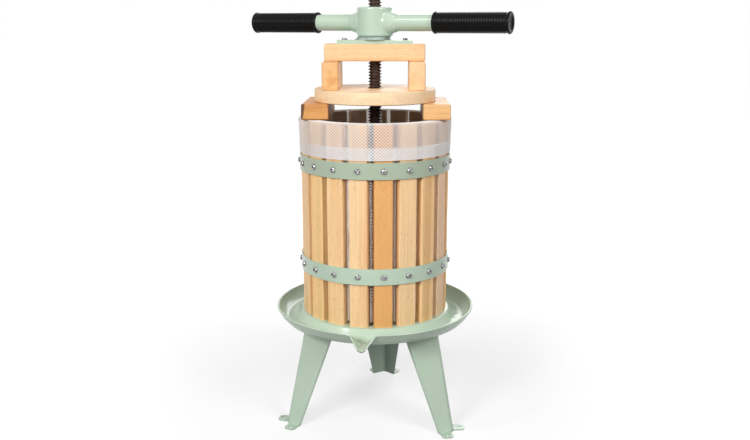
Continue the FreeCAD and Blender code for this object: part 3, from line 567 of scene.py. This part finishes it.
HEM_STATIONS = 11                        # how many of the skirt's lowest the hem covers
HEM_LIFT = 0.5 * MM                      # over the skirt
HEM_WEAVE_LIFT = 0.2 * MM
HEM_OFFSET = 0.3                         # of a yarn's spacing, that its yarns are turned on by

BAG_FLOOR_LIFT = 0.8 * MM                # over the underside of the bag's solid
FLOOR_HOLE = 20.5 * MM                   # the radius of the hole round the spindle's collar
FLOOR_PITCH = 3.05 * MM
FLOOR_LAYERS = (-0.05 * MM, 0.25 * MM)   # how high the yarns of each way lie over its level


def yarn_tree():
    """Yarns of a flat section along a mesh's edges, their flats lying in the cloth."""
    tree, given = geometry_tree("bag_yarns", Width="Float", Thickness="Float", Material="Material")
    loose = tree.add("GeometryNodeMeshToCurve", {"Mesh": given["Geometry"]}).outputs[0]
    outward = tree.add("GeometryNodeInputNamedAttribute", {"Name": "outward"},
                       data_type="FLOAT_VECTOR").outputs[0]
    paths = tree.add("GeometryNodeSetCurveNormal", {"Curve": loose, "Normal": outward},
                     mode="FREE").outputs[0]
    section = tree.add("GeometryNodeCurvePrimitiveQuadrilateral", {
        "Width": given["Thickness"], "Height": given["Width"]}).outputs[0]
    swept = tree.add("GeometryNodeCurveToMesh", {
        "Curve": paths, "Profile Curve": section, "Fill Caps": True}).outputs[0]
    return close_tree(tree, swept, given["Material"])


def fold_path():
    """Stations from the wall's top over the rim to the hem: (radius, height, outward, in skirt)."""
    planks_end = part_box("slat_01")[1][2]
    rim, hem = planks_end + RIM_LIFT, planks_end - SKIRT_DROP
    path = [(BAG_RADIUS, rim - RIM_BEND, (1, 0), False),
            (BAG_RADIUS + 0.4 * MM, rim - RIM_CORNER, (-0.7, 0.7), False)]
    for step in range(RIM_STEPS):
        share = step / (RIM_STEPS - 1)
        radius = BAG_RADIUS + RIM_BEND / 2 + share * (RIM_RADIUS - BAG_RADIUS - RIM_BEND)
        path.append((radius, rim, (0, 1), False))
    path.append((RIM_RADIUS, rim - RIM_CORNER, (0.7, 0.7), True))
    for step in range(SKIRT_STEPS + 1):
        share = step / SKIRT_STEPS
        radius = SKIRT_TOP_RADIUS + share * (SKIRT_FOOT_RADIUS - SKIRT_TOP_RADIUS)
        height = rim - RIM_BEND + share * (hem - rim + RIM_BEND)
        path.append((radius, height, (1, 0), True))
    return path


def skirt_wave(angle):
    """How far the skirt stands out from a true round at an angle."""
    return sum(height * math.sin(count * angle + phase) for count, phase, height in SKIRT_WAVES)


def wall_bends(start, turn):
    """Where a wall yarn bends on its way from one angle round by a turn: (share, angle, press)."""
    low, high = sorted((start, start + turn))
    pitch = 2 * math.pi / SLAT_COUNT
    first = math.floor((low - SLAT_PHASE) / pitch)
    bends = [(0.0, start, 0.0)]
    for plank in range(first, first + SLAT_COUNT):
        for offset, press in GAP_PRESS:
            angle = SLAT_PHASE + plank * pitch + math.radians(offset)
            if low < angle < high:
                share = abs(angle - start) / abs(turn)
                bends.append((share, angle, press if share < PRESSED_SHARE else 0.0))
    return sorted(bends)


def lay_yarns(path, lean, offset, lift, wall_bottom=None):
    """Points, edges and outward directions of the yarns that lean one way along a path.

    Given the wall's bottom, they climb the wall first.
    """
    points = []
    edges = []
    normals = []
    inner, wall_top = path[0][:2]
    for yarn in range(YARN_COUNT):
        angle = 2 * math.pi * (yarn + offset) / YARN_COUNT
        first = len(points)
        if wall_bottom is not None:
            climb = wall_top - wall_bottom
            turn = lean * climb / YARN_REFERENCE
            for share, bend, press in wall_bends(angle, turn):
                points.append(around(bend, inner + lift * lean + press,
                                     wall_bottom + share * climb))
                normals.append(around(bend, 1.0, 0.0))
            angle += turn
        before = path[0]
        for station, (radius, height, outward, in_skirt) in enumerate(path):
            angle += lean * math.dist(before[:2], (radius, height)) / YARN_REFERENCE
            out = lift * lean
            if in_skirt:
                out = skirt_wave(angle) + lift * (1 if (station + yarn) % 2 else -1)
            points.append(around(angle, radius + out * outward[0], height + out * outward[1]))
            normals.append(around(angle, *outward))
            before = (radius, height)
        edges += [(number, number + 1) for number in range(first, len(points) - 1)]
    return points, edges, normals


def floor_yarns(floor):
    """Straight yarns both ways across the bag's round floor, clear of the spindle's hole."""
    points = []
    edges = []
    lines = int(BAG_RADIUS / FLOOR_PITCH)
    for way, layer in enumerate(FLOOR_LAYERS):
        for line in range(-lines, lines + 1):
            across = line * FLOOR_PITCH
            half = math.sqrt(max(BAG_RADIUS ** 2 - across ** 2, 0.0))
            gap = math.sqrt(max(FLOOR_HOLE ** 2 - across ** 2, 0.0))
            spans = [(-half, half)] if gap == 0.0 else [(-half, -gap), (gap, half)]
            for start, end in spans:
                for along in (start, end):
                    flat = (along, across) if way else (across, along)
                    points.append((*flat, floor + layer))
                edges.append((len(points) - 2, len(points) - 1))
    return points, edges, [(0.0, 0.0, 1.0)] * len(points)


def joined(*parts):
    """Several (points, edges, normals) lists as one mesh of loose edges."""
    points = []
    edges = []
    normals = []
    for more_points, more_edges, more_normals in parts:
        edges += [(a + len(points), b + len(points)) for a, b in more_edges]
        points += more_points
        normals += more_normals
    mesh = bpy.data.meshes.new("yarns")
    mesh.from_pydata(points, edges, [])
    outward = mesh.attributes.new("outward", "FLOAT_VECTOR", "POINT")
    outward.data.foreach_set("vector", [value for normal in normals for value in normal])
    return mesh


def make_bag(material):
    """The woven bag: floor, wall, fold over the rim and outer skirt, with its doubled hem."""
    tree = yarn_tree()
    path = fold_path()
    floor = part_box("filter_bag")[0][2] + BAG_FLOOR_LIFT
    sizes = {"Width": YARN_WIDTH, "Thickness": YARN_THICKNESS, "Material": material}
    cloth = grow("bag_cloth", tree, sizes, joined(
        lay_yarns(path, 1, 0.0, WEAVE_LIFT, floor), lay_yarns(path, -1, 0.0, -WEAVE_LIFT, floor),
        floor_yarns(floor)))
    hem_path = [(radius + HEM_LIFT, height, outward, in_skirt)
                for radius, height, outward, in_skirt in path[-HEM_STATIONS:]]
    hem = grow("bag_hem", tree, sizes, joined(
        lay_yarns(hem_path, 1, HEM_OFFSET, HEM_WEAVE_LIFT),
        lay_yarns(hem_path, -1, HEM_OFFSET, -HEM_WEAVE_LIFT)))
    for piece in (cloth, hem):
        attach(piece, "bag")
    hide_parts("filter_bag")


# ---- rounded edges -----------------------------------------------------------------------------

TRAY_BEND, WOOD_BEND = 62.0, 50.0        # degrees; a sharper bend than this stays an edge
CASTING_VOXEL = 0.8 * MM
CASTING_PASSES = 14                      # of smoothing over the hub's edges and roots
PASS_STRENGTH = 0.6
BOSS_WAIST, BOSS_END = 30.0 * MM, 42.0 * MM      # from the spindle's axis
FEATHER = 0.05                           # the share of its radius that a boss's end loses


def merged_copy(node_name, name, material):
    """A copy of a CAD node's mesh with its loose triangles joined up."""
    shape = bmesh.new()
    shape.from_mesh(nodes[node_name].data)
    bmesh.ops.remove_doubles(shape, verts=shape.verts, dist=0.01 * MM)
    return shape_to_piece(shape, name, material)


def shade_bends(piece, angle):
    """Let the light run round every bend below an angle, while the flats stay flat."""
    piece.data.polygons.foreach_set("use_smooth", [True] * len(piece.data.polygons))
    piece.data.set_sharp_from_angle(angle=math.radians(angle))
    weighted = piece.modifiers.new("bends", "WEIGHTED_NORMAL")
    weighted.keep_sharp = True
    return plain_mesh(piece.name, piece)


def make_tray(paint):
    """The pressed tray with its bends rounded."""
    tray = shade_bends(merged_copy("tray", "tray_pressing", paint), TRAY_BEND)
    stand_in(tray, "tray", "stand")


def feather_bosses(hub):
    """Run each boss's end down to the tube that it carries."""
    middle = Vector((0.0, 0.0, middle_height("handle_tube_left")))
    along = Vector((math.cos(HANDLE_YAW), math.sin(HANDLE_YAW), 0.0))
    for vertex in hub.data.vertices:
        reach = (vertex.co - middle).dot(along)
        foot = middle + reach * along
        share = min(max((abs(reach) - BOSS_WAIST) / (BOSS_END - BOSS_WAIST), 0.0), 1.0)
        vertex.co = foot + (vertex.co - foot) * (1.0 - FEATHER * share ** 2)


def make_hub(paint):
    """The hub as a casting: every edge and root runs over in a small round."""
    rough = merged_copy("hub", "hub_casting", paint)
    skin = rough.modifiers.new("skin", "REMESH")
    skin.mode = "VOXEL"
    skin.voxel_size = CASTING_VOXEL
    skin.use_smooth_shade = True
    rounds = rough.modifiers.new("rounds", "SMOOTH")
    rounds.factor = PASS_STRENGTH
    rounds.iterations = CASTING_PASSES
    hub = plain_mesh("hub_casting", rough)
    feather_bosses(hub)
    stand_in(hub, "hub", "handle")


# ---- wood --------------------------------------------------------------------------------------

# each plank's own tone, light and dark, repeated round the basket
SLAT_TONES = [
    (srgb(234, 174, 106), srgb(214, 144, 78)), (srgb(250, 210, 158), srgb(238, 190, 132)),
    (srgb(252, 210, 156), srgb(236, 186, 128)), (srgb(254, 212, 174), srgb(242, 188, 148)),
    (srgb(246, 200, 140), srgb(232, 176, 114)), (srgb(247, 208, 158), srgb(236, 188, 134)),
    (srgb(246, 204, 150), srgb(234, 182, 124)), (srgb(254, 210, 148), srgb(244, 190, 124)),
]
# the planks, counted on from slat_01, take the tones in this order
TONE_ORDER = [0, 1, 2, 3, 4, 5, 6, 7, 1, 4, 2, 5, 0, 6, 3, 2, 7, 1, 5]

PALE = (srgb(251, 219, 178), srgb(243, 202, 154))
STRAW = (srgb(246, 202, 154), srgb(237, 188, 136))
WARM = (srgb(234, 183, 125), srgb(220, 160, 98))
ORANGE = (srgb(216, 157, 91), srgb(190, 120, 60))
BARK = srgb(96, 58, 26)
# each block, bar and board with its body, the axis of its grain and its tone
STACKED_WOOD = [
    ("lower_block_left", "left_lower_block", "X", ORANGE),
    ("lower_block_right", "right_lower_block", "X", WARM),
    ("upper_block_left", "left_upper_block", "Y", WARM),
    ("upper_block_right", "right_upper_block", "Y", STRAW),
    ("crossbar", "head", "X", STRAW),
    ("press_board_front", "press_board", "X", PALE),
    ("press_board_rear", "press_board", "X", PALE),
]
FIRST_STACKED_SEED = 31.0                # the first block's seed, past those of the planks

WANE_REACH = 188.5 * MM                  # from the axis to the block's corner, X and Y added up
WANE_FOOT, WANE_TOP = 2.0 * MM, 6.5 * MM     # the bevel's width at the underside and the top
WANE_MARGIN = 0.7 * MM                   # of bark on the faces beside the bevel


def dress(node_name, material):
    """Give a CAD node one of the finishes."""
    slots = nodes[node_name].material_slots
    if not slots:
        nodes[node_name].data.materials.append(material)
    for slot in slots:
        slot.material = material


def darken_wane(material):
    """The log's own brown surface on the bevel at the left lower block's front outer corner."""
    tree = Tree(material.node_tree)
    colour = material.node_tree.nodes["Principled BSDF"].inputs["Base Color"]
    axes = tree.add("ShaderNodeSeparateXYZ", {0: tree.object_points(STACK_YAW)}).outputs
    low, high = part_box("lower_block_left")
    width = tree.fade(axes["Z"], low[2], high[2], WANE_FOOT, WANE_TOP)
    past = tree.math("ADD", tree.math("ADD", axes["X"], axes["Y"]), WANE_REACH)
    bark = tree.math("LESS_THAN", tree.math("SUBTRACT", past, width), WANE_MARGIN)
    planed = colour.links[0].from_socket
    tree.feed(colour, tree.blend(bark, planed, BARK))


def dress_wood():
    """Give each wooden piece its own plank."""
    for number, tone in enumerate(TONE_ORDER, start=1):
        light, dark = SLAT_TONES[tone]
        dress(f"slat_{number:02d}", beech(f"beech_slat_{number:02d}", light, dark, float(number)))
    for order, (name, body, grain, (light, dark)) in enumerate(STACKED_WOOD):
        wood = beech(f"beech_{name}", light, dark, FIRST_STACKED_SEED + order, grain, STACK_YAW)
        if name == "lower_block_left":
            darken_wane(wood)
        piece = shade_bends(merged_copy(name, f"eased_{name}", wood), WOOD_BEND)
        stand_in(piece, name, body)


# ---- paint, zinc and steel ---------------------------------------------------------------------

PAINTED = ("leg_left", "leg_right", "leg_rear", "base_plate", "hoop_lower", "thrust_plate",
           "handle_tube_left", "handle_tube_right")
ZINC_PLATED = ("leg_bolts", "leg_nuts", "spindle_washer", "spindle_nut")


def dress_metal(paint, zinc, steel):
    """Paint, zinc and bare steel on the CAD nodes."""
    for name in PAINTED:
        dress(name, paint)
    # the upper hoop takes the sage made darker, as painted shade
    dress("hoop_upper", sage_paint("sage_powder_coat_dull", SHADED_SAGE_LIGHT, SHADED_SAGE_DARK))
    for name in ZINC_PLATED:
        dress(name, zinc)
    dress("thrust_collar", steel)


# ---- camera, lamps and stage -------------------------------------------------------------------

CAMERA_AZIMUTH = math.radians(6.66)
CAMERA_DISTANCE = 1.435
CAMERA_HEIGHT = 0.6789
CAMERA_PITCH = math.radians(12.96)
CAMERA_LENS, CAMERA_SENSOR = 40.87, 36.0     # millimetres
LAMP_AIM = Vector((0.0, 0.0, 0.42))      # the middle of the press
# name, azimuth in degrees, height, distance from the spindle, side and power in watts
LAMPS = [
    ("key", -26.0, 1.6, 2.5, 0.8, 55.0),
    ("fill", 48.0, 1.5, 2.2, 0.8, 29.0),
    ("back", 170.0, 1.2, 1.8, 1.2, 14.0),
    ("top", 15.0, 2.3, 0.6, 0.2, 3.0),
    ("streak", -49.0, 2.2, 1.7, 0.22, 7.0),
]
ROOM_LIGHT = 0.06                        # how strongly the white world lights the press
FLOOR_HALF = 60.0                        # half the floor's side
FLOOR_TONE = 0.3                         # the floor's own grey, which takes the shadow
FLOOR_GLOW = 0.7                         # added to it under the press, where the floor is seen
GLOW_START, GLOW_END = 0.3, 1.1          # over this distance from the spindle it rises to 1


def add_camera():
    """The camera, turned towards the spindle and pitched down."""
    camera = place("camera", bpy.data.cameras.new("camera"))
    camera.data.lens = CAMERA_LENS
    camera.data.sensor_width = CAMERA_SENSOR
    camera.data.clip_end = 50.0
    camera.location = around(CAMERA_AZIMUTH, CAMERA_DISTANCE, CAMERA_HEIGHT)
    camera.rotation_euler = (math.pi / 2 - CAMERA_PITCH, 0.0, CAMERA_AZIMUTH)
    bpy.context.scene.camera = camera


def add_lamp(name, azimuth, height, distance, side, power):
    """A soft square lamp, aimed at the middle of the press."""
    lamp = place(name, bpy.data.lights.new(name, "AREA"))
    lamp.data.shape = "SQUARE"
    lamp.data.size = side
    lamp.data.energy = power
    lamp.location = around(math.radians(azimuth), distance, height)
    lamp.rotation_euler = (LAMP_AIM - lamp.location).to_track_quat("-Z", "Y").to_euler()


def ray_seen(tree):
    """1 for what is seen outright, in a gloss or through a glass, and 0 for light on the press."""
    path = tree.add("ShaderNodeLightPath").outputs
    seen_or_mirrored = tree.math("MAXIMUM", path["Is Camera Ray"], path["Is Glossy Ray"])
    return tree.math("MAXIMUM", seen_or_mirrored, path["Is Transmission Ray"])


def add_floor():
    """A white floor that keeps the press's shadow."""
    material, tree, shader = new_material("white_floor")
    material.node_tree.nodes.remove(shader)
    matt = tree.add("ShaderNodeBsdfDiffuse", {"Color": (*grey(FLOOR_TONE), 1.0)}).outputs[0]
    spot = tree.add("ShaderNodeTexCoord").outputs["Object"]
    away = tree.add("ShaderNodeVectorMath", {0: spot}, operation="LENGTH").outputs["Value"]
    rise = tree.fade(away, GLOW_START, GLOW_END, FLOOR_GLOW, 1.0)
    glow = tree.add("ShaderNodeEmission", {
        "Color": (1.0, 1.0, 1.0, 1.0),
        "Strength": tree.math("MULTIPLY", ray_seen(tree), rise)}).outputs[0]
    both = tree.add("ShaderNodeAddShader", {0: matt, 1: glow}).outputs[0]
    tree.feed(material.node_tree.nodes["Material Output"].inputs["Surface"], both)
    half = FLOOR_HALF
    mesh_object(
        "floor", [(-half, -half, 0.0), (half, -half, 0.0), (half, half, 0.0), (-half, half, 0.0)],
        [(0, 1, 2, 3)], material)


def add_room():
    """A white world that lights the press only a little."""
    world = bpy.data.worlds.new("white_room")
    world.use_nodes = True
    tree = Tree(world.node_tree)
    seen = tree.math("MULTIPLY", ray_seen(tree), 1.0 - ROOM_LIGHT)
    background = world.node_tree.nodes["Background"]
    background.inputs["Color"].default_value = (1.0, 1.0, 1.0, 1.0)
    tree.feed(background.inputs["Strength"], tree.math("ADD", ROOM_LIGHT, seen))
    bpy.context.scene.world = world


# ---- the press ---------------------------------------------------------------------------------

def main():
    """Light the press and dress it."""
    bpy.context.scene.view_settings.view_transform = "Standard"
    add_camera()
    add_floor()
    add_room()
    for lamp in LAMPS:
        add_lamp(*lamp)
    # the zinc's dark patches, down to grey 0.06, are painted shade standing in for the shade in the
    # screw heads' recesses and round their rims
    zinc = metal("bright_zinc", grey(0.5), grey(0.06), (0.12, 0.24), grain=420.0)
    screw = metal("oiled_screw_steel", srgb(88, 70, 62), srgb(52, 40, 36), (0.28, 0.45),
                  grain=180.0, metallic=0.75)
    steel = metal("turned_steel", srgb(192, 201, 196), srgb(166, 176, 172), (0.3, 0.45))
    paint = sage_paint()
    dress_metal(paint, zinc, steel)
    dress("spindle_collar", screw)
    dress_wood()
    make_tray(paint)
    make_hub(paint)
    make_spindle(screw)
    head = screw_head(zinc)
    make_hoop_screws(head, zinc)
    make_plate_screws(head, zinc)
    bpy.data.objects.remove(head)
    black = rubber()
    make_grip("left", -1, black)
    make_grip("right", 1, black)
    make_bag(bag_yarn())


main()
